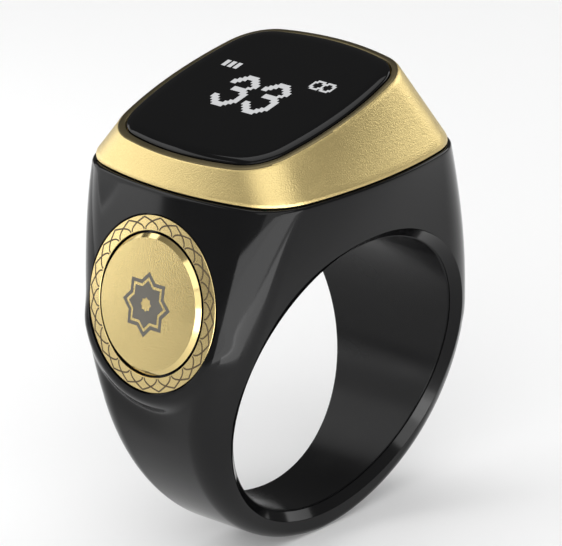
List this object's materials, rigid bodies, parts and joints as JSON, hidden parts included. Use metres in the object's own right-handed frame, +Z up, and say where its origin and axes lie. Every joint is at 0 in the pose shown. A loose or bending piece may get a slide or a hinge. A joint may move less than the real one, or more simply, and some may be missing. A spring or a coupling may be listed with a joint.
{
  "type": "digital tasbih counter",
  "caption": "Ring-form digital prayer counter: gloss black ring with a square head, satin gold wedge bezel, tilted display and a round push button on its side.",
  "frame": {"origin": "centre of the finger bore", "axes": "+Y along the finger through the bore, +Z up to the display, -X towards the button"},
  "size_m": [0.0262, 0.0206, 0.0328],
  "materials": {
    "gloss_black": "piano-black gloss lacquer",
    "liner_black": "smooth semi-gloss moulded lining",
    "satin_gold": "fine bead-blasted champagne gold plating",
    "cover_glass": "black-printed polished cover glass",
    "black_rubber": "soft black seal and foam",
    "display_panel": "dark display panel",
    "polyimide_flex": "amber polyimide film",
    "board_green": "green solder mask",
    "chip_black": "moulded chip packages",
    "frame_plastic": "grey moulded plastic",
    "steel": "bright sheet and turned steel",
    "battery_foil": "silver pouch foil",
    "contact_gold": "gold-plated contacts"
  },
  "bodies": {
    "body": {"ring_shell": "gloss_black", "inner_liner": "liner_black", "contact_cover": "liner_black", "charging_contacts": "contact_gold", "charge_flex": "polyimide_flex", "bezel": "satin_gold", "bezel_gasket": "black_rubber", "display_glass": "cover_glass", "glass_adhesive": "black_rubber", "oled_panel": "display_panel", "oled_flex": "polyimide_flex", "flex_connector": "chip_black", "main_board": "board_green", "controller_chip": "chip_black", "board_components": "chip_black", "inner_frame": "frame_plastic", "frame_screws": "steel", "battery_cell": "battery_foil", "battery_pad": "black_rubber", "battery_tabs": "steel", "motor_base": "steel", "motor_can": "steel", "motor_shaft": "steel", "trim_plate": "satin_gold", "switch_cover": "steel", "switch_dome": "steel", "switch_base": "chip_black", "switch_flex": "polyimide_flex", "switch_bracket": "steel"},
    "button": {"button_cap": "satin_gold", "button_seal": "black_rubber"},
    "plunger": {"switch_plunger": "frame_plastic"},
    "rotor": {"motor_rotor": "frame_plastic", "motor_weight": "steel"}
  },
  "joints": [
    {"name": "button_press", "type": "slide", "parent": "body", "child": "button", "axis": [0.9738, 0, -0.2275], "range_m": [0, 0.00025], "stiffness_N_per_m": 6000},
    {"name": "plunger_press", "type": "slide", "parent": "body", "child": "plunger", "axis": [0.9738, 0, -0.2275], "range_m": [0, 0.00025], "deforming": ["switch_dome"]},
    {"name": "motor_spin", "type": "hinge", "parent": "body", "child": "rotor", "pos_m": [0.0036, 0, 0.0157], "axis": [0, 0, 1], "continuous": true}
  ],
  "couplings": [
    {"joint": "plunger_press", "follows": "button_press", "ratio": 1}
  ]
}
